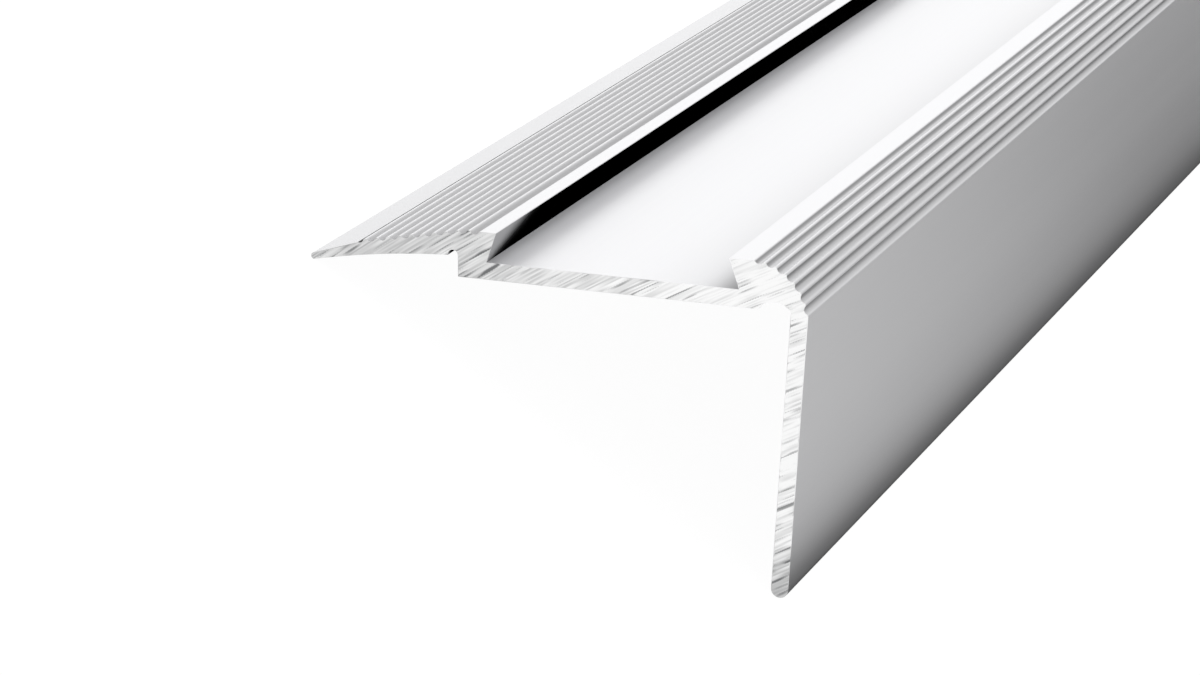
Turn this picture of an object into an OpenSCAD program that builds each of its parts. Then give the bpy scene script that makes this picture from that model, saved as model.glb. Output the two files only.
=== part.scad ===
// Stair nosing: a length of one extruded aluminium section.
// It caps a step's edge. The web lies on the tread and the leg hangs down the riser.
// The ribbed flange slopes down to the tread as a ramp, and the dovetail recess holds an insert strip.

/* [Bar] */
// Length the bar is sold in
bar_length = 1000; // [300:50:2500]

/* [Web and recess] */
// Thickness of the web that lies on the tread
web_thickness = 1.8; // [1.5:0.1:2.2]
// Width of the recess at its mouth
recess_mouth = 24.5; // [20:0.5:40]
// Depth of the recess, from the tread face to its floor
recess_depth = 3.1; // [2.9:0.1:3.5]
// Lean of the recess walls, which holds the insert down, in degrees
recess_undercut = 19; // [0:0.5:22]
// Width of the solid between the step wall and the recess mouth
land_width = 4.15; // [3.9:0.05:6]
// Width of the flat lip between the recess mouth and the nose
lip_width = 2.55; // [2:0.05:4]

/* [Ramp flange] */
// Height of the step wall, from the underside of the web up to the flange
step_rise = 2.2; // [1.9:0.05:2.4]
// Reach of the flange, from the step wall to the middle of its rounded tip
flange_reach = 15.8; // [15.2:0.1:18]
// Height of the middle of the tip over the underside of the web
tip_height = 0.57; // [0.4:0.01:0.7]
// Radius of the rounded tip
tip_radius = 0.35; // [0.3:0.01:0.4]
// Radius of the arch of the underside
arch_radius = 90; // [80:5:200]
// Slope of the ribbed stretch, in degrees
rib_slope = 10.5; // [9.5:0.25:11]
// Distance from the step wall to the top of the slope
slope_end = 0.55; // [0.4:0.05:0.8]

/* [Ribs] */
// Number of grooves on the flange
flange_grooves = 11; // [6:1:11]
// Distance between the grooves of the flange
flange_pitch = 1.28; // [1.22:0.01:1.3]
// Number of grooves on the nose
nose_grooves = 7; // [5:1:7]
// Angle between the grooves of the nose, in degrees
nose_pitch = 12.2; // [12:0.1:12.4]
// Angle of the lowest groove over the horizontal, in degrees
nose_start = 11.4; // [11:0.1:11.8]
// Radius of the hollow of a groove
groove_radius = 0.5; // [0.46:0.01:0.54]
// Radius of the rounded crest between two grooves
crest_radius = 0.25; // [0.23:0.01:0.27]

/* [Nose and leg] */
// Radius of the nose over the crests of its ribs
nose_radius = 5.6; // [5.4:0.1:5.8]
// Thickness of the leg
leg_thickness = 1.8; // [1.5:0.1:2]
// Lean of the leg towards the riser, in degrees
leg_lean = 3.3; // [2.5:0.1:4]
// Drop of the leg's rounded end below the underside of the web
leg_drop = 29.6; // [20:0.1:50]

/* [Corner reliefs] */
// Radius of the hollow in the corner between web and leg
relief_radius = 2.2; // [2:0.1:2.6]
// Depth of that hollow
relief_depth = 0.85; // [0.5:0.05:1]
// How far that hollow bites into the leg, so that nothing overhangs the leg's inner face
relief_bite = 0.08; // [0.05:0.01:0.2]
// Radius of the small hollow between the flange and the step wall
notch_radius = 0.55; // [0.4:0.05:0.6]

/* [Hidden] */

// Height of the tread face over the underside of the web
tread_top = web_thickness + recess_depth;
recess_left = land_width;
recess_right = land_width + recess_mouth;

// Arcs that follow each other cross by this much, too little to see
lap = 0.005;
// Distance between the middles of a groove's hollow and of the crest beside it
arc_spacing = groove_radius + crest_radius - lap;
// Depth of a crest's middle under the line over all the crests
crest_depth = crest_radius - lap;

// Number of sides that stand for a small arc and for a large one
small_arc = 60;
large_arc = 720;

// Unit vector at an angle, and the one a quarter turn to its left
function along(angle) = [cos(angle), sin(angle)];
function across(angle) = [-sin(angle), cos(angle)];

// Point at distance ra from a and rb from b, to the right of the way from a to b
function meeting_point(a, ra, b, rb) =
    let (gap = norm(b - a))
    let (way = (b - a) / gap)
    let (run = (gap * gap + ra * ra - rb * rb) / (2 * gap))
    let (aside = sqrt(ra * ra - run * run))
    a + run * way + aside * [way.y, -way.x];

// Flange: the line over the crests climbs the slope, then runs level on the tread face
function under_crest_line(s, depth) =
    let (angle = s < 0 ? rib_slope : 0)
    [slope_end, tread_top] + s * along(angle) - depth * across(angle);

// One crest rounds off the land, one is level, and the others go down the slope
function flange_crest(i) = under_crest_line((1.5 - i) * flange_pitch, crest_depth);
function flange_hollow(i) = meeting_point(flange_crest(i), arc_spacing, flange_crest(i + 1), arc_spacing);
land_start = flange_crest(0).x;
// The crests sit on a bed at the depth where hollow and crest cross
hollow_height = sqrt(pow(arc_spacing, 2) - pow(flange_pitch / 2, 2));
flange_bed = crest_depth - crest_radius * hollow_height / arc_spacing;

// Ramp: from the rounded tip to the bottom of the lowest hollow
tip_centre = [-flange_reach, tip_height];
lowest_hollow = flange_hollow(flange_grooves - 1);
ramp_end = lowest_hollow - groove_radius * across(rib_slope);
ramp_run = ramp_end - tip_centre;
ramp_angle = atan2(ramp_run.y, ramp_run.x) - asin((tip_radius - lap) / norm(ramp_run));
ramp_start = tip_centre + (tip_radius - lap) * across(ramp_angle);
// The ramp's line runs on a little way into the hollow, which cuts it off
ramp_stop = ramp_end + groove_radius / 10 * along(ramp_angle);
tip_to_arch = arch_radius + tip_radius - lap;
arch_centre = meeting_point(tip_centre, tip_to_arch, [0, step_rise], arch_radius);
tip_foot = tip_centre + 2 * tip_radius / tip_to_arch * (arch_centre - tip_centre);
root_height = (step_rise + tread_top) / 2;

// Nose: the crests' middles are on one orbit about its centre, the hollows' on another
nose_centre = [recess_right + lip_width, tread_top - nose_radius];
crest_orbit = nose_radius - crest_depth;
half_pitch = nose_pitch / 2;
half_chord = crest_orbit * sin(half_pitch);
groove_orbit = crest_orbit * cos(half_pitch) + sqrt(pow(arc_spacing, 2) - pow(half_chord, 2));
function on_orbit(orbit, angle) = nose_centre + orbit * along(angle);
function nose_hollow(i) = on_orbit(groove_orbit, nose_start + i * nose_pitch);
function nose_crest(i) = on_orbit(crest_orbit, nose_start + (i + 0.5) * nose_pitch);
to_hollow = nose_hollow(0) - nose_crest(0);
nose_bed = norm(nose_crest(0) + crest_radius * to_hollow / arc_spacing - nose_centre);

// The lip ends in a crest that rounds it down into the first hollow
first_hollow = nose_hollow(nose_grooves - 1);
lip_crest_height = tread_top - crest_depth;
lip_crest_run = sqrt(pow(arc_spacing, 2) - pow(first_hollow.y - lip_crest_height, 2));
lip_crest = [first_hollow.x - lip_crest_run, lip_crest_height];

// Leg: its outer face touches the nose's arc, and its end is fully round
leg_out = along(-leg_lean);
leg_down = -across(-leg_lean);
leg_end_radius = leg_thickness / 2;
leg_root = nose_centre + (nose_radius - leg_end_radius) * leg_out;
leg_end_drop = (leg_root.y + leg_drop - leg_end_radius) / cos(leg_lean);
leg_end = leg_root + leg_end_drop * leg_down;
leg_inner = leg_end - leg_end_radius * leg_out;
// Where the line of the inner face reaches the height of the web's underside
inner_corner = leg_inner - (leg_inner.y / leg_down.y) * leg_down;
inner_root = inner_corner - relief_depth * leg_down;
// The last crest rounds the lowest hollow into the outer face
last_hollow = nose_hollow(0) - nose_centre;
last_crest_inset = last_hollow * leg_out - crest_orbit;
last_crest_drop = sqrt(pow(arc_spacing, 2) - pow(last_crest_inset, 2));
last_crest = nose_hollow(0) - last_crest_inset * leg_out + last_crest_drop * leg_down;

// Corner hollow: an arc from the web's underside down to the corner
relief_half_width = sqrt(pow(relief_radius, 2) - pow(relief_radius - relief_depth, 2));
relief_centre = [inner_corner.x + relief_bite - relief_half_width, relief_depth - relief_radius];

// Resting pose: unheld on a floor, the bar stands on its flange tip and its leg's end
rest_run = leg_end - tip_centre;
rest_angle = asin((leg_end_radius - tip_radius) / norm(rest_run)) - atan2(rest_run.y, rest_run.x);
function turned(p) = p.x * along(rest_angle) + p.y * across(rest_angle);
rest_left = turned(tip_centre).x - tip_radius;
rest_right = turned(leg_end).x + leg_end_radius;
rest_floor = turned(tip_centre).y - tip_radius;

// A round at a point of the section
module disc(centre, radius, sides = small_arc) {
    translate(centre)
        circle(r = radius, $fn = sides);
}

// Flange with its rounded tip, ramp and arched underside, and the bed that the crests sit on
module flange() {
    difference() {
        union() {
            disc(tip_centre, tip_radius);
            polygon([
                tip_foot,
                [land_start, tip_foot.y],
                [land_start, tread_top - flange_bed],
                under_crest_line(0, flange_bed),
                under_crest_line((2 - flange_grooves) * flange_pitch, flange_bed),
                ramp_stop,
                ramp_start,
                tip_centre
            ]);
        }
        disc(arch_centre, arch_radius, large_arc);
    }
    for (i = [0 : flange_grooves - 1])
        disc(flange_crest(i), crest_radius);
}

// Web, land and lip as one blank, before the recess is cut into it
module web() {
    polygon([
        [0, 0],
        [lip_crest.x, 0],
        [lip_crest.x, tread_top],
        [land_start, tread_top],
        [land_start, root_height],
        [0, root_height]
    ]);
}

// Nose with its crests, above the height of the web's underside
module nose() {
    intersection() {
        disc(nose_centre, nose_bed, large_arc);
        translate([nose_centre.x - nose_radius / 2, 0])
            square(2 * nose_radius);
    }
    for (i = [0 : nose_grooves - 2])
        disc(nose_crest(i), crest_radius);
    disc(lip_crest, crest_radius);
    disc(last_crest, crest_radius);
}

// Leg with its round end
module leg() {
    polygon([
        inner_root,
        leg_inner,
        leg_end + leg_end_radius * leg_out,
        last_crest + crest_depth * leg_out,
        last_crest,
        nose_hollow(0)
    ]);
    disc(leg_end, leg_end_radius);
}

// Dovetail recess for the insert strip
module recess() {
    undercut = recess_depth * tan(recess_undercut);
    polygon([
        [recess_left, tread_top],
        [recess_left - undercut, web_thickness],
        [recess_right + undercut, web_thickness],
        [recess_right, tread_top]
    ]);
}

// Hollows of the grooves, on the flange and round the nose
module grooves() {
    for (i = [0 : flange_grooves - 1])
        disc(flange_hollow(i), groove_radius);
    for (i = [0 : nose_grooves - 1])
        disc(nose_hollow(i), groove_radius);
}

// Small hollows in the two inner corners, behind the leg and under the flange
module corner_reliefs() {
    intersection() {
        disc(relief_centre, relief_radius, large_arc);
        translate([relief_centre.x - relief_radius, 0])
            square(2 * relief_radius);
    }
    disc([-notch_radius, step_rise], notch_radius);
}

// The whole section as installed: web level, the tread's edge under the nose
module section() {
    difference() {
        union() {
            flange();
            web();
            nose();
            leg();
        }
        recess();
        grooves();
        corner_reliefs();
    }
}

// The bar, one solid, turned into the pose in which it rests
module nosing_profile() {
    color("silver")
        rotate([90, 0, 0])
            linear_extrude(bar_length, center = true)
                translate([-(rest_left + rest_right) / 2, -rest_floor])
                    rotate(rest_angle)
                        section();
}

nosing_profile();
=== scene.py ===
# %% [markdown]
# A stair nosing is a length of extruded aluminium that caps the edge of a step. One section is pushed
# through one die, so every line runs straight from end to end, and a saw cuts the bar off square.
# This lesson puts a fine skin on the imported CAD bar: the same section with its curves worked out
# finely, its outer corners broken as a die breaks them, and its two ends sawn.

# %% The frame
import math

import bpy
import numpy as np
from mathutils import Matrix, Vector
from mathutils.geometry import delaunay_2d_cdt


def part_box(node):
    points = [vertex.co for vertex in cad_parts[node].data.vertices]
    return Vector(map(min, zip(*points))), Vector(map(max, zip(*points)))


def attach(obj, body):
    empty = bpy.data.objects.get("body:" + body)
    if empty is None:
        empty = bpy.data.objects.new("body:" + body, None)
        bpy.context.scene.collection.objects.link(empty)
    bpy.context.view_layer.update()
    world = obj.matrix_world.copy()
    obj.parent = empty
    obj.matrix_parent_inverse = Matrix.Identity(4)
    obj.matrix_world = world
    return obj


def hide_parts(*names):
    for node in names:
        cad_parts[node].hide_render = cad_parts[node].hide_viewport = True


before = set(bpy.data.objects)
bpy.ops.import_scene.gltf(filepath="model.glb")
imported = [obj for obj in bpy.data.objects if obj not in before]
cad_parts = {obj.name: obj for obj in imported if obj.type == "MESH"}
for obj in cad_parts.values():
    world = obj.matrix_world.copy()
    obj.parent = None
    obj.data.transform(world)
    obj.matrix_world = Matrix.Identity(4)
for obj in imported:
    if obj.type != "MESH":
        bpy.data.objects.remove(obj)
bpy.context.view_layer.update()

MM = 1000.0
cad_low, cad_high = (np.array([float(v) for v in corner]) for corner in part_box("nosing_profile"))
bar_length = (cad_high[1] - cad_low[1]) * MM
half = bar_length / 2
print("bar", (cad_high - cad_low).round(5).tolist(), "m")

# %% [markdown]
# The section could be traced from the CAD mesh, but that mesh is coarse: each groove has only a few
# sides, and a metal shows each of them. So the section is drawn again from its own sizes. Hollows and
# crests are true arcs that touch, and the drawing can be as fine as the render needs.

# %% Sizes of the section, in millimetres
web_thickness = 1.8
recess_mouth = 24.5
recess_depth = 3.1
recess_undercut = math.radians(19)
land_width = 4.15
lip_width = 2.55
step_rise = 2.2
flange_reach = 15.8
tip_height = 0.57
tip_radius = 0.35
arch_radius = 90.0
rib_slope = math.radians(10.5)
slope_end = 0.55
flange_grooves = 11
flange_pitch = 1.28
last_hollow_rise = math.radians(30)
nose_grooves = 7
nose_pitch = math.radians(12.2)
nose_start = math.radians(11.4)
groove_radius = 0.5
crest_radius = 0.25
nose_radius = 5.6
leg_thickness = 1.8
leg_lean = math.radians(3.3)
leg_drop = 29.6
relief_radius = 2.2
relief_depth = 0.85
relief_bite = 0.08
notch_radius = 0.55
corner_radius = 0.06
tread_top = web_thickness + recess_depth
print("section", flange_grooves, "flange grooves and", nose_grooves, "nose grooves")

# %% [markdown]
# A die's maker works with radii, so every curve of the section is an arc. Splines could follow the
# same line, but arcs need only directions, headings and the point where two circles meet.

# %% Helpers for points and directions
QUARTER = math.pi / 2


def along(angle):
    """Unit vector at an angle: its cosine and its sine."""
    return np.array([math.cos(angle), math.sin(angle)])


def across(angle):
    """The same vector turned a quarter turn to the left."""
    return np.array([-math.sin(angle), math.cos(angle)])


def heading(start, end):
    """Angle of the way from one point to another."""
    return math.atan2(end[1] - start[1], end[0] - start[0])


def meeting_point(a, ra, b, rb):
    """Point at distance ra from a and rb from b, to the right of the way from a to b: the foot on that
    way comes from the difference of the squares, and the step aside from Pythagoras."""
    gap = np.linalg.norm(b - a)
    way = (b - a) / gap
    run = (gap ** 2 + ra ** 2 - rb ** 2) / (2 * gap)
    return a + run * way + math.sqrt(ra ** 2 - run ** 2) * np.array([way[1], -way[0]])


print("the flange slopes down by", round(math.degrees(rib_slope), 2), "degrees")

# %% Helpers for arcs and corners
ARC_STEP = math.radians(7.5)
CORNER_STEP = 3 * ARC_STEP
FEWEST_POINTS = 3


def arc(centre, radius, start, end, turn, step=ARC_STEP):
    """Points centre + radius (cos t, sin t), where t runs from start to end, leftwards where turn is 1
    (a crest) and rightwards where it is -1 (a hollow)."""
    sweep = turn * ((turn * (end - start)) % math.tau)
    points = max(FEWEST_POINTS, math.ceil(abs(sweep) / step) + 1)
    t = start + sweep * np.linspace(0, 1, points)
    return centre + radius * np.stack([np.cos(t), np.sin(t)], 1)


def broken_corner(before, corner, after, radius):
    """An arc that touches both sides of a corner. Its ends are radius / tan(half the angle) away."""
    one, two = (p - corner for p in (np.array(before), np.array(after)))
    one, two = one / np.linalg.norm(one), two / np.linalg.norm(two)
    half_angle = math.acos(float(np.clip(one @ two, -1, 1))) / 2
    centre = corner + (one + two) / np.linalg.norm(one + two) * radius / math.sin(half_angle)
    start, end = (heading(centre, corner + way * radius / math.tan(half_angle)) for way in (one, two))
    turn = 1 if one[0] * two[1] - one[1] * two[0] < 0 else -1
    return arc(centre, radius, start, end, turn, CORNER_STEP)


def ribs(discs, first, last):
    """The outline over discs that touch one another. Each is (centre, radius, turn), and two of them
    touch on the line between their centres, so an arc runs from heading to heading."""
    arcs = []
    for i, (centre, radius, turn) in enumerate(discs):
        start = heading(centre, discs[i - 1][0]) if i else first
        end = heading(centre, discs[i + 1][0]) if i + 1 < len(discs) else last
        arcs.append(arc(centre, radius, start, end, turn))
    return np.concatenate(arcs)


spacing = groove_radius + crest_radius
print("hollow to crest", spacing, "mm")

# %% [markdown]
# The flange's crests lie under one line that runs level on the tread face and then down a slope. The
# nose's crests lie on an orbit about its centre. In both, a hollow's middle is where two circles
# about its neighbouring crests meet, so that every arc touches the next. The flange's last hollow
# runs on past its lowest point, so it has a left wall, and the ramp starts on that wall. The CAD part
# starts its ramp at the lowest point instead, so there the skin's section lies 0.1 mm off it. The
# rest of the section stays within 0.04 mm.

# %% The ribbed stretch of the flange
FIRST_CREST = 1.5


def flange_crest(i):
    """Middle of a crest: a step along the line over the crests, then a crest's radius under it. The
    first is one and a half pitches to the right of where the slope starts."""
    s = (FIRST_CREST - i) * flange_pitch
    angle = rib_slope if s < 0 else 0.0
    return np.array([slope_end, tread_top]) + s * along(angle) - crest_radius * across(angle)


flange_discs = []
for i in range(flange_grooves):
    hollow = meeting_point(flange_crest(i), spacing, flange_crest(i + 1), spacing)
    flange_discs += [(flange_crest(i), crest_radius, 1), (hollow, groove_radius, -1)]
flange_ribs = ribs(flange_discs, QUARTER, rib_slope - QUARTER - last_hollow_rise)
print("flange ribs", len(flange_ribs), "points")

# %% Hollows and crests round the nose
nose_centre = np.array([land_width + recess_mouth + lip_width, tread_top - nose_radius])
crest_orbit = nose_radius - crest_radius
half_chord = crest_orbit * math.sin(nose_pitch / 2)
groove_orbit = crest_orbit * math.cos(nose_pitch / 2) + math.sqrt(spacing ** 2 - half_chord ** 2)
nose_hollows = [nose_centre + groove_orbit * along(nose_start + i * nose_pitch)
                for i in range(nose_grooves)]
nose_crests = [nose_centre + crest_orbit * along(nose_start + (i + 0.5) * nose_pitch)
               for i in range(nose_grooves - 1)]
print("crests on an orbit of", round(crest_orbit, 3), "mm, hollows on", round(groove_orbit, 3), "mm")

# %% Where the nose's ribs meet the lip and the leg
lip_height = tread_top - crest_radius
lip_run = math.sqrt(spacing ** 2 - (nose_hollows[-1][1] - lip_height) ** 2)
lip_crest = np.array([nose_hollows[-1][0] - lip_run, lip_height])

leg_out, leg_down = along(-leg_lean), -across(-leg_lean)
inset = (nose_hollows[0] - nose_centre) @ leg_out - crest_orbit
last_crest = nose_hollows[0] - inset * leg_out + math.sqrt(spacing ** 2 - inset ** 2) * leg_down

nose_discs = [(last_crest, crest_radius, 1)]
for hollow, crest in zip(nose_hollows, nose_crests + [lip_crest]):
    nose_discs += [(hollow, groove_radius, -1), (crest, crest_radius, 1)]
nose_ribs = ribs(nose_discs, -leg_lean, QUARTER)
print("nose ribs", len(nose_ribs), "points")

# %% [markdown]
# The leg leans in, so that it springs against the riser, and its end is a full round. A shallow
# hollow runs in the corner between web and leg, and clears the edge of the step.

# %% The leg and the hollow behind it
end_radius = leg_thickness / 2
leg_root = nose_centre + (nose_radius - end_radius) * leg_out
leg_end = leg_root + (leg_root[1] + leg_drop - end_radius) / math.cos(leg_lean) * leg_down
leg_inner = leg_end - end_radius * leg_out
inner_corner = leg_inner - leg_inner[1] / leg_down[1] * leg_down
leg_round = arc(leg_end, end_radius, math.pi - leg_lean, -leg_lean, 1)

half_width = math.sqrt(relief_radius ** 2 - (relief_radius - relief_depth) ** 2)
relief_centre = np.array([inner_corner[0] + relief_bite - half_width, relief_depth - relief_radius])
relief_side = math.atan2(relief_radius - relief_depth, half_width)
relief = arc(relief_centre, relief_radius, math.pi - relief_side, relief_side, -1)
print("leg end", leg_end.round(3))

# %% The flange's tip, arch and notch
ARCH_STEP = math.radians(0.4)
NOTCH_STEP = 2 * ARC_STEP
tip_centre = np.array([-flange_reach, tip_height])
ramp_run = flange_ribs[-1] - tip_centre
ramp_angle = math.atan2(ramp_run[1], ramp_run[0]) - math.asin(tip_radius / np.linalg.norm(ramp_run))
arch_centre = meeting_point(tip_centre, arch_radius + tip_radius, np.array([0, step_rise]), arch_radius)
tip = arc(tip_centre, tip_radius, ramp_angle + QUARTER, heading(tip_centre, arch_centre), 1)
notch_centre = np.array([-notch_radius, step_rise])
notch_start = meeting_point(notch_centre, notch_radius, arch_centre, arch_radius)
arch = arc(arch_centre, arch_radius, heading(arch_centre, tip_centre),
           heading(arch_centre, notch_start), -1, ARCH_STEP)
notch = arc(notch_centre, notch_radius, heading(notch_centre, notch_start), 0, -1, NOTCH_STEP)
print("arch centre", arch_centre.round(3))

# %% [markdown]
# The recess is a dovetail: its walls lean in over the strip that it holds. A wall and a floor are
# flat, and two points would draw each. They get more here, closer together near the corners, because
# the shade that comes later is kept on the points.

# %% Points along the recess and the leg's foot
WALL_TOP, WALL_POINTS = 0.97, 8
undercut = recess_depth * math.tan(recess_undercut)
recess_right = land_width + recess_mouth
mouth_left = np.array([land_width, tread_top])
mouth_right = np.array([recess_right, tread_top])
floor_left = np.array([land_width - undercut, web_thickness])
floor_right = np.array([recess_right + undercut, web_thickness])
wall_rise = np.linspace(0, WALL_TOP, WALL_POINTS)[:, None]
left_wall = floor_left + (mouth_left - floor_left) * wall_rise
right_wall = floor_right + (mouth_right - floor_right) * wall_rise
floor_steps = np.array([0.05, 0.3, 0.7, 1.2, 1.8, 2.6, 3.6, 4.6, 5.6, 7.2, 9.4, 12.4])
corner_steps = np.stack([floor_steps, np.zeros(len(floor_steps))], 1)
recess_floor = np.concatenate([floor_right - corner_steps, (floor_left + corner_steps)[::-1]])
foot_steps = np.array([0.5, 1.0, 1.6, 2.3, 3.1, 4.0, 5.0, 6.2, 8.0, 10.0])[:, None]
leg_foot = leg_round[-1] - foot_steps * leg_down
print("recess floor", round(float(floor_right[0] - floor_left[0]), 3), "mm wide")

# %% [markdown]
# The pieces join into one closed line, with the metal on its left. A die can't cut an outer corner
# dead sharp, so three are broken by an arc of 0.06 mm, the web's corner at the notch and both edges
# of the recess's mouth, and that thin line is what catches the light. A long straight side gets a
# point close to each end. Without them, smooth shading would bend the light over the whole face.

# %% The closed outline
web_corner = np.zeros(2)
outline = np.concatenate([
    broken_corner(notch[-1], web_corner, relief[0], corner_radius),
    relief,
    [inner_corner],
    leg_round,
    leg_foot,
    nose_ribs,
    broken_corner(lip_crest + [0, crest_radius], mouth_right, floor_right, corner_radius),
    right_wall[::-1],
    recess_floor,
    left_wall,
    broken_corner(floor_left, mouth_left, flange_ribs[0], corner_radius),
    flange_ribs,
    tip,
    arch,
    notch,
])
print("outline", len(outline), "points as joined")

# %% Doubles out, and points beside the ends of long sides
MERGE = 1e-4
LONG_SIDE = 0.5
SIDE_STEP = 0.04
outline = outline[np.linalg.norm(outline - np.roll(outline, 1, 0), axis=1) > MERGE]
side = np.roll(outline, -1, 0) - outline
reach = np.linalg.norm(side, axis=1)
near = outline + side / reach[:, None] * SIDE_STEP
far = outline + side / reach[:, None] * (reach - SIDE_STEP)[:, None]
is_long = reach > LONG_SIDE
keep = np.stack([np.ones(len(outline), bool), is_long, is_long], 1)
outline = np.stack([outline, near, far], 1)[keep]
count = len(outline)


def ring_area(ring):
    """Area inside a ring: half the sum of x1 z2 - x2 z1 over its sides."""
    after = np.roll(ring, -1, 0)
    return 0.5 * float(np.sum(ring[:, 0] * after[:, 1] - after[:, 0] * ring[:, 1]))


print("outline", count, "points, area", round(ring_area(outline), 2), "mm2")

# %% [markdown]
# The bar is stored as it rests when nothing holds it: on the tip of its flange and the end of its
# leg. The section is drawn as it is installed, so it is turned and set down on the floor.

# %% The resting pose
rest_run = leg_end - tip_centre
rest_climb = math.atan2(rest_run[1], rest_run[0])
rest_angle = math.asin((end_radius - tip_radius) / np.linalg.norm(rest_run)) - rest_climb
turn_matrix = np.stack([along(rest_angle), across(rest_angle)])
set_down = np.array([
    -((tip_centre @ turn_matrix)[0] - tip_radius + (leg_end @ turn_matrix)[0] + end_radius) / 2,
    tip_radius - (tip_centre @ turn_matrix)[1],
])


def stored(points):
    """Section points in millimetres to the row's X and Z in metres: turned, then set down."""
    return (np.asarray(points) @ turn_matrix + set_down) / MM


skin_low, skin_high = stored(outline).min(0), stored(outline).max(0)
box_gaps = np.abs(np.concatenate([skin_low - cad_low[[0, 2]], skin_high - cad_high[[0, 2]]]))
print("turned by", round(math.degrees(rest_angle), 3), "degrees; off the CAD box by",
      box_gaps.max() * MM, "mm")

# %% [markdown]
# A circular saw leaves arcs about its own middle. Here they come from a wide blade whose middle was
# low on the leg's side, so the arcs climb to the right and lie a little flatter on the nose and leg.
# A bump texture could fake them, but then the saved shape would have a polished end. So the end is
# a mesh of its own, with its points laid on those arcs, and each point is pushed in by the kerf.

# %% Noise for the marks
NOISE_TABLE = 256


def blend_noise(u, v, seed):
    """Noise from 0 to 1: a random value at each whole u and v, and between them the four nearest are
    mixed by the smooth step 3 t^2 - 2 t^3 of the remainders."""
    table = np.random.default_rng(seed).random((NOISE_TABLE, NOISE_TABLE))
    iu, iv = np.floor(u).astype(int), np.floor(v).astype(int)
    fu, fv = (t * t * (3 - 2 * t) for t in (u - iu, v - iv))
    corner = [[table[(iu + a) % NOISE_TABLE, (iv + b) % NOISE_TABLE] for b in (0, 1)] for a in (0, 1)]
    low = corner[0][0] * (1 - fv) + corner[0][1] * fv
    high = corner[1][0] * (1 - fv) + corner[1][1] * fv
    return low * (1 - fu) + high * fu


print("noise repeats after", NOISE_TABLE, "marks")

# %% The kerf
SAW_RADIUS = 275.0
saw_centre = np.array([146.0, -225.0])
MARK_WIDTH, MARK_LENGTH = 0.13, 2.6
BROAD_WIDTH, BROAD_LENGTH = 5 * MARK_WIDTH, 2.5 * MARK_LENGTH
SCRATCH_LENGTH = 1.2 * MARK_LENGTH
SCRATCH_FROM, SCRATCH_SPAN = 0.72, 0.2
FINE_DEPTH, BROAD_DEPTH, SCRATCH_DEPTH = 0.008, 0.01, 0.03
FLANGE_SIDE_END, FLANGE_SIDE_WIDTH = 30.0, 34.0
LEG_SIDE_START, LEG_SIDE_WIDTH = -16.0, 14.0
FLANGE_SIDE_TONE, LEG_SIDE_TONE, FINE_TONE, SCRATCH_TONE = 0.42, 0.6, 0.65, 0.7
FINE_MIDDLE = 0.47
FINE_BASE, SCRATCH_BASE = 0.25, 0.3


def kerf(points, seed):
    """How deep the saw cut in, in millimetres, and how dark a mark is from 0 to 1. Both are noise over
    the distance from the saw's middle and the length along the arc: fine marks, broad waves and a
    few deep scratches, each much longer than it is wide. The darkness also grows towards the flange,
    and with its square towards the leg's end."""
    ray = points - saw_centre
    distance = np.hypot(ray[:, 0], ray[:, 1])
    run = np.arctan2(ray[:, 1], ray[:, 0]) * SAW_RADIUS
    fine = blend_noise(distance / MARK_WIDTH, run / MARK_LENGTH, seed)
    broad = blend_noise(distance / BROAD_WIDTH, run / BROAD_LENGTH, seed + 1)
    deep = blend_noise(distance / MARK_WIDTH, run / SCRATCH_LENGTH, seed + 2)
    scratch = np.clip((deep - SCRATCH_FROM) / SCRATCH_SPAN, 0, 1)
    flange_side = np.clip((FLANGE_SIDE_END - points[:, 0]) / FLANGE_SIDE_WIDTH, 0, 1)
    leg_side = np.clip((LEG_SIDE_START - points[:, 1]) / LEG_SIDE_WIDTH, 0, 1) ** 2
    depth = FINE_DEPTH * fine + BROAD_DEPTH * broad + SCRATCH_DEPTH * scratch
    sides_tone = FLANGE_SIDE_TONE * flange_side + LEG_SIDE_TONE * leg_side
    fine_tone = FINE_TONE * (fine - FINE_MIDDLE) * (FINE_BASE + broad)
    scratch_tone = SCRATCH_TONE * scratch * (SCRATCH_BASE + broad)
    return depth, np.clip(sides_tone + fine_tone + scratch_tone, 0, 1)


print("the kerf is at most", FINE_DEPTH + BROAD_DEPTH + SCRATCH_DEPTH, "mm deep")

# %% Which points lie inside


def clear_inside(points, ring, margin):
    """Which points lie inside a ring and off its line: a point is inside where a ray to its right
    crosses the ring an odd number of times, and off it where its distance to each side is over
    the margin."""
    a, b = ring, np.roll(ring, -1, 0)
    px, pz = points[:, :1], points[:, 1:]
    spans = (a[:, 1] > pz) != (b[:, 1] > pz)
    rise = np.where(b[:, 1] == a[:, 1], 1.0, b[:, 1] - a[:, 1])
    crossing = a[:, 0] + (pz - a[:, 1]) / rise * (b[:, 0] - a[:, 0])
    odd = (spans & (px < crossing)).sum(1) % 2 == 1
    run = b - a
    t = np.clip(((px - a[:, 0]) * run[:, 0] + (pz - a[:, 1]) * run[:, 1]) / (run ** 2).sum(1), 0, 1)
    away = np.hypot(px - a[:, 0] - t * run[:, 0], pz - a[:, 1] - t * run[:, 1]).min(1)
    return odd & (away > margin)


print("middle of the leg's end inside:", clear_inside(leg_end[None], outline, MERGE)[0])

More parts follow.
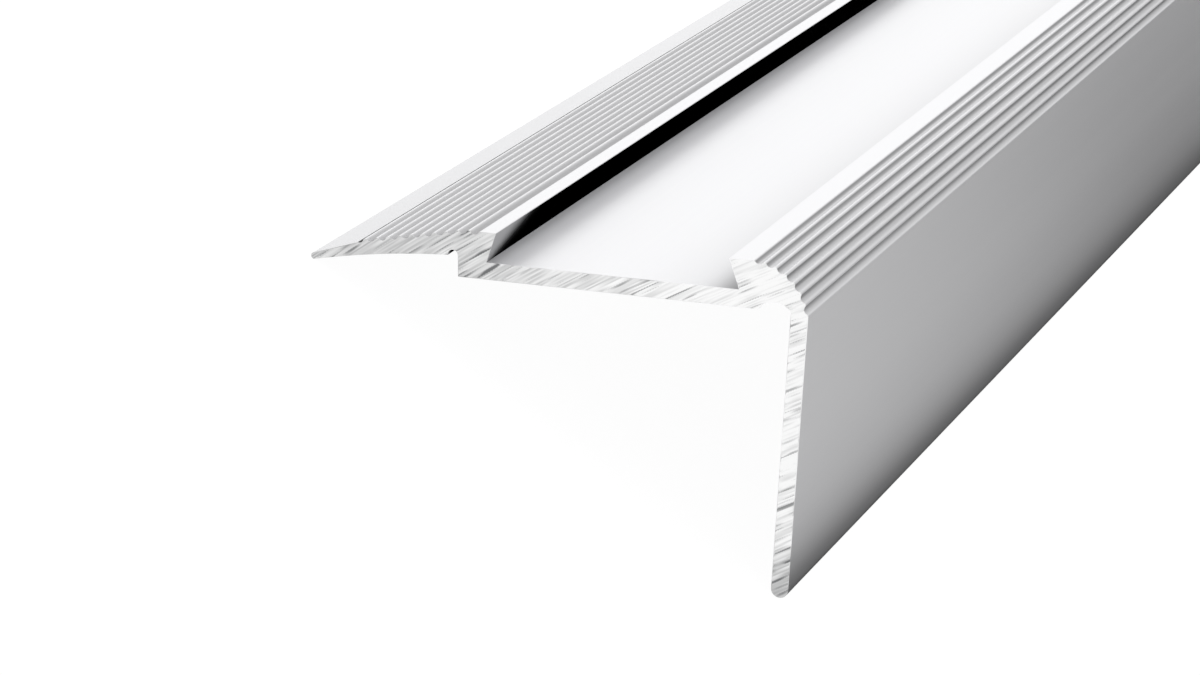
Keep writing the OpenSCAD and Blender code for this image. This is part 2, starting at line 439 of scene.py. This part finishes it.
# %% Points on the saw's arcs
RADIAL_STEP = 0.045
ARC_LENGTH_STEP = 0.32
EDGE_MARGIN = 0.03
CHUNKS = 60
ray = outline - saw_centre
radii = np.hypot(ray[:, 0], ray[:, 1])
angles = np.arctan2(ray[:, 1], ray[:, 0])
angle_step = ARC_LENGTH_STEP / radii.mean()
grid_r = np.arange(radii.min(), radii.max(), RADIAL_STEP)
grid_a = np.arange(angles.min(), angles.max(), angle_step)
r, a = np.meshgrid(grid_r, grid_a, indexing="ij")
a = a + (np.arange(len(grid_r)) % 2)[:, None] * 0.5 * angle_step
grid = saw_centre + np.stack([r * np.cos(a), r * np.sin(a)], -1).reshape(-1, 2)
grid = np.concatenate([part[clear_inside(part, outline, EDGE_MARGIN)]
                       for part in np.array_split(grid, CHUNKS)])
print("sawn end", len(grid), "points inside the outline")

# %% The end's triangles
INSIDE_ONLY = 1
SAME_POINT = 1e-6
here = np.arange(count)
after = np.roll(here, -1)
cap_points = np.concatenate([outline, grid])
cdt = delaunay_2d_cdt(cap_points.tolist(), np.stack([here, after], 1).tolist(), [],
                      INSIDE_ONLY, SAME_POINT)
cap_source = np.array([sources[0] for sources in cdt[3]])
cap_triangles = cap_source[np.array(cdt[2])]
print("sawn end", len(cap_triangles), "triangles from", len(cap_source), "of", len(cap_points), "points")

# %% [markdown]
# The skin is that outline carried along the bar, ring by ring. Its first and last rings are the
# edges of the sawn ends, so they follow the kerf, and the next ring is a tenth of a millimetre in.
# A bar this straight could do with those alone. More rings lie near the ends, where the shade in the
# recess changes, and the long middle has one every 25 mm.

# %% The skin's points
EDGE_RING = 0.1
RING_GAP = 25.0
FRONT_SEED, BACK_SEED = 11, 47
end_rings = np.array([EDGE_RING, 0.5, 1.0, 2.0, 3.0, 4.5, 6.0, 8.0, 10.0, 12.5, 16.0])
inner_count = round((bar_length - 2 * RING_GAP) / RING_GAP) + 1
inner_rings = np.linspace(-half + RING_GAP, half - RING_GAP, inner_count)
stations = np.concatenate([-half + end_rings, inner_rings, half - end_rings[::-1]])


def row_points(points, y):
    """Section points with their places along the bar, in metres."""
    flat = stored(points)
    return np.stack([flat[:, 0], np.broadcast_to(y, len(flat)) / MM, flat[:, 1]], 1)


front_depth, front_mark = kerf(cap_points, FRONT_SEED)
back_depth, back_mark = kerf(cap_points, BACK_SEED)
front = row_points(cap_points, -half + front_depth)
back = row_points(cap_points, half - back_depth)
rings = np.concatenate([row_points(outline, y) for y in stations])
vertices = np.concatenate([front, rings, back])
print("skin", len(vertices), "points, with", len(stations), "rings between the ends")

# %% The skin's faces
back_start = len(front) + len(rings)
ring_starts = np.concatenate([[0], len(front) + count * np.arange(len(stations)), [back_start]])
one, two = ring_starts[:-1, None], ring_starts[1:, None]
sides = np.stack([one + here, two + here, two + after, one + after], -1).reshape(-1, 4)
faces = sides.tolist() + cap_triangles.tolist() + (cap_triangles[:, ::-1] + back_start).tolist()
print("skin", 2 * len(sides) + 2 * len(cap_triangles), "triangles")

# %% [markdown]
# Some places on the photographed bar are darker than bounced light leaves them in a render: the
# recess walls, the notch, the recess floor near its corners, the hollows of the ribs and the outside
# of the leg's foot. Moving a lamp changes the rest of the bar too, and an occlusion node can't be set
# place by place. So each point carries a shade of its own, worked out from its place on the section,
# with levels that were tuned until the render's tones came near the photograph's. It is paint and
# not light: under other lamps these places stay darkened. Only what the camera sees directly is
# darkened, so that the recess floor doesn't mirror a blackened wall.

# %% Shade on the recess walls
WALL_LIMIT = 0.98
WALL_REACH, WALL_REACH_GROWTH = 1.0, 8.0
WALL_POWER, WALL_POWER_GROWTH = 1.0, 3.0
WALL_LIT = 0.75


def wall_height(points, foot, mouth):
    """How far up a recess wall a point lies, from 0 at its foot to 1 at its mouth: its way from the
    foot, measured along the wall. It is -1 where the point lies off the wall's line."""
    wall = mouth - foot
    way = points - foot
    height = way @ wall / (wall @ wall)
    off = np.abs(way[:, 0] * wall[1] - way[:, 1] * wall[0]) / np.linalg.norm(wall)
    on_wall = (off < MERGE) & (height > -MERGE) & (height < WALL_LIMIT)
    return np.where(on_wall, np.clip(height, 0, 1), -1)


def wall_shade(height, distance):
    """Shade from 0 to 1 on a recess wall: one less e to the minus (distance from the sawn end over a
    reach) to a power. Reach and power grow from the foot to the mouth, which sees more of the room."""
    share = np.maximum(height, 0)
    reach = WALL_REACH + WALL_REACH_GROWTH * share
    power = WALL_POWER + WALL_POWER_GROWTH * share
    return np.where(height < 0, 0, 1 - WALL_LIT * np.exp(-(distance / reach) ** power))


heights = np.maximum(wall_height(outline, floor_left, mouth_left),
                     wall_height(outline, floor_right, mouth_right))
print("recess walls", int((heights >= 0).sum()), "points")

# %% Shade on the ribs
FLANGE_SHADE, NOSE_SHADE, UNDER_SHADE = 0.4, 0.24, 0.5
LAST_HOLLOW_SHADE = 0.8
RIB_DEPTH, CREST_DEPTH = 0.36, 0.1


def rib_shade(points):
    """Shade from 0 to 1 on the ribs. A point's depth is its way under the line or the orbit that the
    crests touch. On the nose the shade also grows with how far the metal faces down from there, by
    the sine of that angle, which is the cross product of the two directions."""
    centres, sizes, turns = (np.array(part) for part in zip(*(flange_discs + nose_discs)))
    gaps = np.abs(np.linalg.norm(points[:, None] - centres, axis=2) - sizes)
    nearest = gaps.argmin(1)
    facing = (points - centres[nearest]) * (turns / sizes)[nearest, None]
    over_nose = np.stack([np.maximum(points[:, 0] - nose_centre[0], 0), points[:, 1] - nose_centre[1]], 1)
    span = np.linalg.norm(over_nose, axis=1)
    turned_down = over_nose[:, 1] * facing[:, 0] - over_nose[:, 0] * facing[:, 1]
    downward = np.clip(turned_down / span, 0, 1)
    line = tread_top + np.minimum(points[:, 0] - slope_end, 0) * math.tan(rib_slope)
    on_nose = points[:, 0] > recess_right
    under = np.where(on_nose, nose_radius - span, line - points[:, 1])
    depth, below_crest = np.clip(under / RIB_DEPTH, 0, 1), np.clip(under / CREST_DEPTH, 0, 1)
    nose_level = NOSE_SHADE * depth + UNDER_SHADE * downward * below_crest
    level = np.where(on_nose, nose_level, FLANGE_SHADE * depth)
    level = np.where(nearest == len(flange_discs) - 1, LAST_HOLLOW_SHADE * depth, level)
    return np.where(gaps.min(1) < MERGE, level, 0)


print("ribs", int((rib_shade(outline) > 0).sum()), "points with shade")

# %% Shade on the leg's foot and the recess floor
FOOT_SHADE, FOOT_REACH, FOOT_POWER = 0.4, 3.8, 1.7
FOOT_LIMIT = 3 * FOOT_REACH
LEFT_SHADE, LEFT_REACH = 0.3, 1.2
RIGHT_SHADE, RIGHT_REACH = 0.4, 2.3
WIDE_SHADE, WIDE_REACH = 0.1, 6.5


def foot_shade(points):
    """Shade from 0 to 1 on the outside of the leg's foot: a level times how far round the end the
    point lies, times e to the minus (height over the end, over a reach) to a power."""
    way = points - leg_end
    height = end_radius - way @ leg_down
    outside = np.clip(way @ leg_out / end_radius, 0, 1)
    near_foot = (way @ leg_out < end_radius + MERGE) & (height < FOOT_LIMIT)
    fall = np.exp(-(np.maximum(height, 0) / FOOT_REACH) ** FOOT_POWER)
    return np.where(near_foot, FOOT_SHADE * outside * fall, 0)


def floor_shade(points, heights):
    """Shade from 0 to 1 on the recess floor: for each corner a level times e to the minus (way from
    the corner over a reach) squared. The right corner has a second one, weaker and wider."""
    from_left, from_right = points[:, 0] - floor_left[0], floor_right[0] - points[:, 0]
    level_with_floor = (np.abs(points[:, 1] - web_thickness) < MERGE) & (heights < 0)
    on_floor = level_with_floor & (from_left > 0) & (from_right > 0)
    shade = LEFT_SHADE * np.exp(-(from_left / LEFT_REACH) ** 2)
    shade = shade + RIGHT_SHADE * np.exp(-(from_right / RIGHT_REACH) ** 2)
    shade = shade + WIDE_SHADE * np.exp(-(from_right / WIDE_REACH) ** 2)
    return np.where(on_floor, shade, 0)


even_shade = np.stack([floor_shade(outline, heights), rib_shade(outline), foot_shade(outline)]).max(0)
print("darkest even shade", round(float(even_shade.max()), 3))

# %% The shade of every point
NOTCH_REACH = 0.3
ring_count = len(stations)
in_notch = np.abs(np.linalg.norm(outline - notch_centre, axis=1) - notch_radius) < MERGE
distances = np.repeat(half - np.abs(stations), count)
notch_shade = 1 - np.exp(-distances / NOTCH_REACH)
deep_shade = np.where(np.tile(in_notch, ring_count), notch_shade,
                      wall_shade(np.tile(heights, ring_count), distances))
ring_shade = np.maximum(deep_shade, np.tile(even_shade, ring_count))
shades = np.concatenate([np.zeros(len(front)), ring_shade, np.zeros(len(back))])
marks = np.concatenate([front_mark, np.zeros(len(rings)), back_mark])
print("shade up to", round(float(shades.max()), 3), "and marks up to", round(float(marks.max()), 3))

# %% [markdown]
# Sides and ends go into one closed mesh, so that the bar stays one piece. The shade and the marks
# ride on its points. Edges sharper than 32 degrees stay sharp, and everything else is smooth.

# %% The skin as one closed mesh
SHARP_ANGLE = math.radians(32)
mesh = bpy.data.meshes.new("nosing_skin")
mesh.from_pydata(vertices.tolist(), [], faces)
for name, values in (("kerf_mark", marks), ("hollow_shade", shades)):
    mesh.attributes.new(name, "FLOAT", "POINT").data.foreach_set("value", values)
mesh.polygons.foreach_set("use_smooth", np.ones(len(faces), bool))
mesh.polygons.foreach_set("material_index", (np.arange(len(faces)) >= len(sides)).astype(int))
mesh.set_sharp_from_angle(angle=SHARP_ANGLE)
mesh.validate()
skin = bpy.data.objects.new("nosing_skin", mesh)
bpy.context.scene.collection.objects.link(skin)
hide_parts("nosing_profile")
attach(skin, "root")
print("mesh", len(mesh.vertices), "points and", len(mesh.polygons), "faces")

# %% [markdown]
# A colour is written as a designer picks it, in sRGB hex, and one function turns it into the linear
# values that light adds up in. One more function adds a node with its settings and its links.

# %% Helpers for materials


def linear(code):
    """sRGB hex to linear: a value under 0.04045 is divided by 12.92, and the rest is
    ((value + 0.055) / 1.055) to the power 2.4."""
    values = [int(code[i:i + 2], 16) / 255 for i in (1, 3, 5)]
    return [v / 12.92 if v <= 0.04045 else ((v + 0.055) / 1.055) ** 2.4 for v in values] + [1.0]


def add_node(tree, kind, settings=(), inputs=()):
    """Adds a node. Settings are its own properties. An input is a value, or a socket to link from."""
    node = tree.nodes.new(kind)
    for name, value in dict(settings).items():
        setattr(node, name, value)
    for name, value in dict(inputs).items():
        if isinstance(value, bpy.types.NodeSocket):
            tree.links.new(value, node.inputs[name])
        else:
            node.inputs[name].default_value = value
    return node


def new_material(name):
    """A material with an empty node tree and its output."""
    material = bpy.data.materials.new(name)
    material.use_nodes = True
    material.node_tree.nodes.clear()
    return material, material.node_tree, material.node_tree.nodes.new("ShaderNodeOutputMaterial")


WHITE, BLACK = linear("#FFFFFF"), linear("#000000")
print("middle grey", linear("#808080"))

# %% [markdown]
# Silver anodised aluminium is etched first, which gives it an even satin, and then the oxide grows
# over that. The eye sees a soft, wide highlight and hardly any grain. The die leaves faint lines
# along the bar, a few tenths of a millimetre apart, in which roughness and grey change very slightly.
# The etch's own grain is too fine to show, so it is drawn 0.18 mm wide and only as faint bump.

# %% Satin anodised aluminium: lines, etch and bump
DIE_LINE, DIE_LENGTH, ETCH_GRAIN = 0.35, 600, 0.18
ETCH_SHARE = 0.35
SATIN_GREY, SATIN_PALE = "#DEDEE0", "#E3E3E4"
satin, tree, output = new_material("satin_anodised_aluminium")
place = add_node(tree, "ShaderNodeTexCoord")
die_place = add_node(tree, "ShaderNodeMapping", inputs={
    "Vector": place.outputs["Object"], "Scale": (MM / DIE_LINE, MM / DIE_LENGTH, MM / DIE_LINE)})
die_lines = add_node(tree, "ShaderNodeTexNoise", inputs={
    "Vector": die_place.outputs["Vector"], "Scale": 1.0, "Detail": 3.0, "Roughness": 0.6})
etch = add_node(tree, "ShaderNodeTexNoise", inputs={
    "Vector": place.outputs["Object"], "Scale": MM / ETCH_GRAIN, "Detail": 2.0})
metal = add_node(tree, "ShaderNodeMix", {"data_type": "RGBA"}, {
    "Factor": die_lines.outputs["Fac"], "A": linear(SATIN_GREY), "B": linear(SATIN_PALE)})
rough = add_node(tree, "ShaderNodeMapRange", inputs={
    "Value": die_lines.outputs["Fac"], "From Min": 0.3, "From Max": 0.7, "To Min": 0.39, "To Max": 0.42})
relief_sum = add_node(tree, "ShaderNodeMath", {"operation": "MULTIPLY_ADD"}, {
    0: etch.outputs["Fac"], 1: ETCH_SHARE, 2: die_lines.outputs["Fac"]})
bump = add_node(tree, "ShaderNodeBump", inputs={
    "Height": relief_sum.outputs["Value"], "Strength": 0.25, "Distance": 0.00001})
print(satin.name, "from", SATIN_GREY, "to", SATIN_PALE)

# %% [markdown]
# The points' shade comes in here. A metal's grey has two parts, the colour that it mirrors with when
# seen head on and the tint at its edge, and both go towards black. Light Path's Is Camera Ray is one
# where the camera sees the metal directly and nought in a reflection, so the shade is multiplied
# by it. It tells rays apart and doesn't know where the camera stands.

# %% Satin anodised aluminium: shade and surface
shaded = add_node(tree, "ShaderNodeAttribute", {"attribute_name": "hollow_shade"})
path = add_node(tree, "ShaderNodeLightPath")
shade = add_node(tree, "ShaderNodeMath", {"operation": "MULTIPLY"}, {
    0: shaded.outputs["Fac"], 1: path.outputs["Is Camera Ray"]})
tone = add_node(tree, "ShaderNodeMix", {"data_type": "RGBA"}, {
    "Factor": shade.outputs["Value"], "A": metal.outputs["Result"], "B": BLACK})
edge_tone = add_node(tree, "ShaderNodeMix", {"data_type": "RGBA"}, {
    "Factor": shade.outputs["Value"], "A": WHITE, "B": BLACK})
surface = add_node(tree, "ShaderNodeBsdfPrincipled", inputs={
    "Base Color": tone.outputs["Result"], "Metallic": 1.0, "Roughness": rough.outputs["Result"],
    "Specular Tint": edge_tone.outputs["Result"], "Normal": bump.outputs["Normal"]})
tree.links.new(surface.outputs["BSDF"], output.inputs["Surface"])
print(satin.name, len(tree.nodes), "nodes")

# %% [markdown]
# The saw cuts through the anodised film, so the end is bare aluminium, which is brighter. A mark
# scatters light and holds a little dust of the cut, so it is darker and rougher than the metal
# beside it. The marks' places come with the mesh, as the attribute that the kerf gave.

# %% Sawn aluminium
SAWN_PALE, SAWN_DARK = "#FBFBFB", "#7E7F80"
sawn, tree, output = new_material("sawn_aluminium")
mark = add_node(tree, "ShaderNodeAttribute", {"attribute_name": "kerf_mark"})
tone = add_node(tree, "ShaderNodeMix", {"data_type": "RGBA"}, {
    "Factor": mark.outputs["Fac"], "A": linear(SAWN_PALE), "B": linear(SAWN_DARK)})
rough = add_node(tree, "ShaderNodeMapRange", inputs={
    "Value": mark.outputs["Fac"], "To Min": 0.3, "To Max": 0.55})
surface = add_node(tree, "ShaderNodeBsdfPrincipled", inputs={
    "Base Color": tone.outputs["Result"], "Metallic": 1.0, "Roughness": rough.outputs["Result"]})
tree.links.new(surface.outputs["BSDF"], output.inputs["Surface"])
mesh.materials.append(satin)
mesh.materials.append(sawn)
print(mesh.materials.keys())

# %% [markdown]
# The camera stands where the photograph's did. It was found in the section's own frame, so the
# resting pose's turn is applied to it as well, and the bar looks as it does when installed.

# %% The camera
CAMERA_YAW = math.radians(21.05)
CAMERA_PITCH = math.radians(17.11)
CAMERA_PLACE = (151.56, -354.26, 112.17)
CAMERA_LENS = 120.3
forward = np.array([-math.sin(CAMERA_YAW) * math.cos(CAMERA_PITCH),
                    math.cos(CAMERA_YAW) * math.cos(CAMERA_PITCH), -math.sin(CAMERA_PITCH)])
right = np.array([math.cos(CAMERA_YAW), math.sin(CAMERA_YAW), 0.0])
above = np.cross(right, forward)
rest_turn = Matrix.Rotation(-rest_angle, 4, "Y")
axes = Matrix(np.stack([right, above, -forward], 1).tolist()).to_4x4()
camera_x, camera_z = stored([CAMERA_PLACE[0], CAMERA_PLACE[2]])
camera_y = (CAMERA_PLACE[1] - half) / MM
camera_data = bpy.data.cameras.new("camera")
camera_data.lens = CAMERA_LENS
camera_data.sensor_width = 36.0
camera_data.clip_start = 0.01
camera = bpy.data.objects.new("camera", camera_data)
camera.matrix_world = Matrix.Translation((camera_x, camera_y, camera_z)) @ rest_turn @ axes
bpy.context.scene.collection.objects.link(camera)
bpy.context.scene.camera = camera
print("camera at", [round(float(v), 4) for v in (camera_x, camera_y, camera_z)])

# %% [markdown]
# The floor is plain and white. A white floor that is only lit would need more light than the metal
# can take, so most of its white comes from itself, for the camera and for reflections alike. The
# rest is lit, and that part keeps the bar's shadow.

# %% The floor's paint
FLOOR_GLOW = 0.93
FLOOR_GREY = "#5A5A5A"
floor_paint, tree, output = new_material("white_floor")
path = add_node(tree, "ShaderNodeLightPath")
seen = add_node(tree, "ShaderNodeMath", {"operation": "MAXIMUM"}, {
    0: path.outputs["Is Camera Ray"], 1: path.outputs["Is Glossy Ray"]})
seen = add_node(tree, "ShaderNodeMath", {"operation": "MAXIMUM"}, {
    0: seen.outputs["Value"], 1: path.outputs["Is Transmission Ray"]})
glow = add_node(tree, "ShaderNodeMath", {"operation": "MULTIPLY"}, {
    0: seen.outputs["Value"], 1: FLOOR_GLOW})
own = add_node(tree, "ShaderNodeEmission", inputs={"Color": WHITE, "Strength": glow.outputs["Value"]})
lit = add_node(tree, "ShaderNodeBsdfDiffuse", inputs={"Color": linear(FLOOR_GREY)})
both = add_node(tree, "ShaderNodeAddShader", inputs={0: own.outputs["Emission"], 1: lit.outputs["BSDF"]})
tree.links.new(both.outputs["Shader"], output.inputs["Surface"])
print(floor_paint.name, "glows at", FLOOR_GLOW)

# %% The floor
FLOOR_SIZE = 30.0


def flat_sheet(name, low, high, lift, paint):
    """A rectangle that faces up, between two corners (x, y) in metres, lifted off the ground."""
    (x0, y0), (x1, y1) = low, high
    data = bpy.data.meshes.new(name)
    data.from_pydata([(x0, y0, lift), (x1, y0, lift), (x1, y1, lift), (x0, y1, lift)],
                     [], [(0, 1, 2, 3)])
    data.materials.append(paint)
    sheet = bpy.data.objects.new(name, data)
    bpy.context.scene.collection.objects.link(sheet)
    return sheet


side_at = FLOOR_SIZE / 2
floor = flat_sheet("floor", (-side_at, -side_at), (side_at, side_at), 0, floor_paint)
print("floor", FLOOR_SIZE, "m across")

# %% [markdown]
# The leg's outer face mirrors the floor on its right, and a white floor would leave it white too.
# So a graded grey card lies beside the leg, as photographers lay one beside bright metal. It is
# painted shade in the leg's reflection: its black at the leg's foot is a painted shadow of the
# floor there, and its dark back end paints a darker room into the far part of the leg. The card is
# black at the leg's foot, grows paler over the next 20 mm, and falls to nearly black towards the
# back, along a slanting line, since the leg mirrors what lies out and behind. Only reflections see
# the card. It lights nothing and throws no shadow.

# %% The graded card's paint: painted shade in reflections
CARD_FOOT = 0.0300
CARD_RISE = 0.02
CARD_SLANT = (-2.7, 1.0, 0.0)
# Painted shade in the leg's reflection: pale in the middle, black at the foot and near black at the back.
CARD_PALE, CARD_DARK = 0.76, 0.02
card_shade_paint, tree, output = new_material("reflection_shade_card")
spot = add_node(tree, "ShaderNodeTexCoord")
axis = add_node(tree, "ShaderNodeSeparateXYZ", inputs={"Vector": spot.outputs["Object"]})
edge = add_node(tree, "ShaderNodeMapRange", inputs={
    "Value": axis.outputs["X"], "From Min": CARD_FOOT, "From Max": CARD_FOOT + CARD_RISE,
    "To Min": 0.0, "To Max": 1.0})
slant = add_node(tree, "ShaderNodeVectorMath", {"operation": "DOT_PRODUCT"}, {
    0: spot.outputs["Object"], 1: CARD_SLANT})
fade = add_node(tree, "ShaderNodeMapRange", inputs={
    "Value": slant.outputs["Value"], "From Min": -0.6, "From Max": -0.42,
    "To Min": CARD_PALE, "To Max": CARD_DARK})
level = add_node(tree, "ShaderNodeMath", {"operation": "MULTIPLY"}, {
    0: edge.outputs["Result"], 1: fade.outputs["Result"]})
grey = add_node(tree, "ShaderNodeEmission", inputs={"Color": WHITE, "Strength": level.outputs["Value"]})
tree.links.new(grey.outputs["Emission"], output.inputs["Surface"])
print(card_shade_paint.name, "from", CARD_PALE, "to", CARD_DARK)

# %% The grey card beside the leg
CARD_FRONT = -0.7
CARD_LIFT = 0.0003
CARD_SIZE = (0.40, 2.5)
# A sheet seen only in reflections, which paints shade into the leg's mirrored floor.
card = flat_sheet("reflection_shade_sheet", (CARD_FOOT, CARD_FRONT),
                  (CARD_FOOT + CARD_SIZE[0], CARD_FRONT + CARD_SIZE[1]), CARD_LIFT, card_shade_paint)
card.visible_camera = False
card.visible_diffuse = False
card.visible_shadow = False
print("card", CARD_SIZE, "m")

# %% [markdown]
# Metal shows what stands round it. A wide soft lamp low behind the bar, on its left, is what the
# tread face mirrors towards the camera. One overhead rounds the ribs. A point lamp would only give
# the metal a spark. The room is palest above and to the left and darkens to the right, and that
# difference is what draws the shape.

# %% Lamps
LAMP_AIM = Vector((0.0, -0.2, 0.0))


def soft_lamp(name, place, size, radiance):
    """A rectangular lamp whose face shines at a given radiance: its power is that times pi times its
    area. It points from its place to the lamps' common aim."""
    data = bpy.data.lights.new(name, "AREA")
    data.shape = "RECTANGLE"
    data.size, data.size_y = size
    data.energy = radiance * math.pi * size[0] * size[1]
    lamp = bpy.data.objects.new(name, data)
    lamp.location = place
    lamp.rotation_euler = (LAMP_AIM - Vector(place)).to_track_quat("-Z", "Y").to_euler()
    lamp.visible_camera = False
    bpy.context.scene.collection.objects.link(lamp)


soft_lamp("back_left_lamp", (-1.75, 3.0, 0.62), (2.6, 1.24), 0.7)
soft_lamp("overhead_lamp", (-0.7, -0.1, 1.8), (1.6, 2.4), 0.8)

# %% The room
PALE_SIDE = (-0.5, 0.0, 0.87)
ROOM_DARK, ROOM_PALE = 0.45, 0.87
world = bpy.data.worlds.new("studio")
world.use_nodes = True
tree = world.node_tree
room = tree.nodes["Background"]
room.inputs["Color"].default_value = WHITE
look = add_node(tree, "ShaderNodeTexCoord")
turned = add_node(tree, "ShaderNodeVectorMath", {"operation": "DOT_PRODUCT"}, {
    0: look.outputs["Generated"], 1: PALE_SIDE})
level = add_node(tree, "ShaderNodeMapRange", inputs={
    "Value": turned.outputs["Value"], "From Min": -0.2, "From Max": 0.12,
    "To Min": ROOM_DARK, "To Max": ROOM_PALE})
tree.links.new(level.outputs["Result"], room.inputs["Strength"])
bpy.context.scene.world = world
bpy.context.scene.view_settings.view_transform = "Standard"
print("room from", ROOM_DARK, "to", ROOM_PALE)
